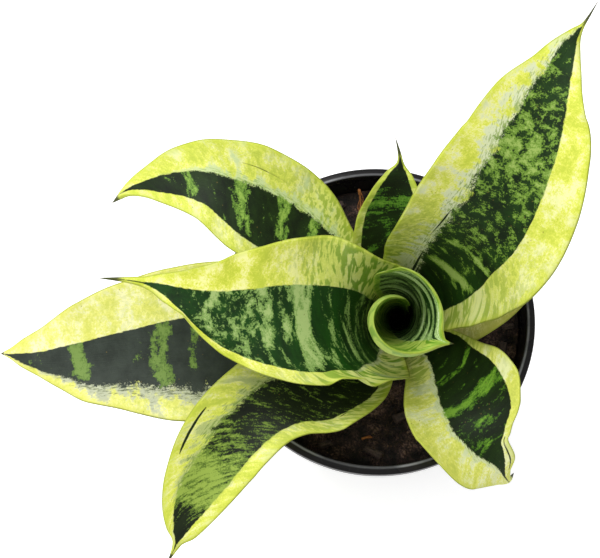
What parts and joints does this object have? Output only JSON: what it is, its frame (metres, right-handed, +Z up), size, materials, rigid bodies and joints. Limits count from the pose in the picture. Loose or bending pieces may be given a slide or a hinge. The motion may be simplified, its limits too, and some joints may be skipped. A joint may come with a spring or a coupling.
{
  "type": "potted snake plant",
  "caption": "Snake plant in a round black nursery pot: a rosette of thick, pointed, yellow-edged leaves round a rolled new leaf, in dark potting soil with bark bits.",
  "frame": {"origin": "The centre of the pot's flat underside, on the surface it stands on.", "axes": "+Z up along the pot's axis, +X towards the right and +Y towards the back, with the longest leaf to the left (-X) and the tallest leaf to the back right."},
  "size_m": [0.209, 0.1713, 0.2188],
  "materials": {
    "black_plastic": "injection-moulded black polypropylene, satin, with a shiny rolled lip",
    "potting_soil": "moist dark peat with fibres and crumbs",
    "root": "pale fleshy root skin",
    "leaf": "waxy leaf skin, dark-green banded centre and yellow margins",
    "bark": "rough broken bark",
    "straw": "dry plant stalk"
  },
  "bodies": {
    "root": {"pot": "black_plastic", "soil": "potting_soil", "root_crown": "root", "leaf_centre_rolled": "leaf", "leaf_left": "leaf", "leaf_back_right": "leaf", "leaf_front_left": "leaf", "leaf_back_small": "leaf", "leaf_front_right": "leaf", "leaf_back_left": "leaf", "leaf_outer_left": "leaf", "leaf_outer_right": "leaf", "bark_chip_01": "bark", "bark_chip_02": "bark", "bark_chip_03": "bark", "bark_chip_04": "bark", "bark_chip_05": "bark", "bark_chip_06": "bark", "bark_chip_07": "bark", "bark_chip_08": "bark", "bark_chip_09": "bark", "bark_chip_10": "bark", "bark_chip_11": "bark", "bark_chip_12": "bark", "bark_chip_13": "bark", "bark_chip_14": "bark", "bark_chip_15": "bark", "bark_chip_16": "bark", "bark_chip_17": "bark", "straw": "straw"}
  },
  "joints": []
}
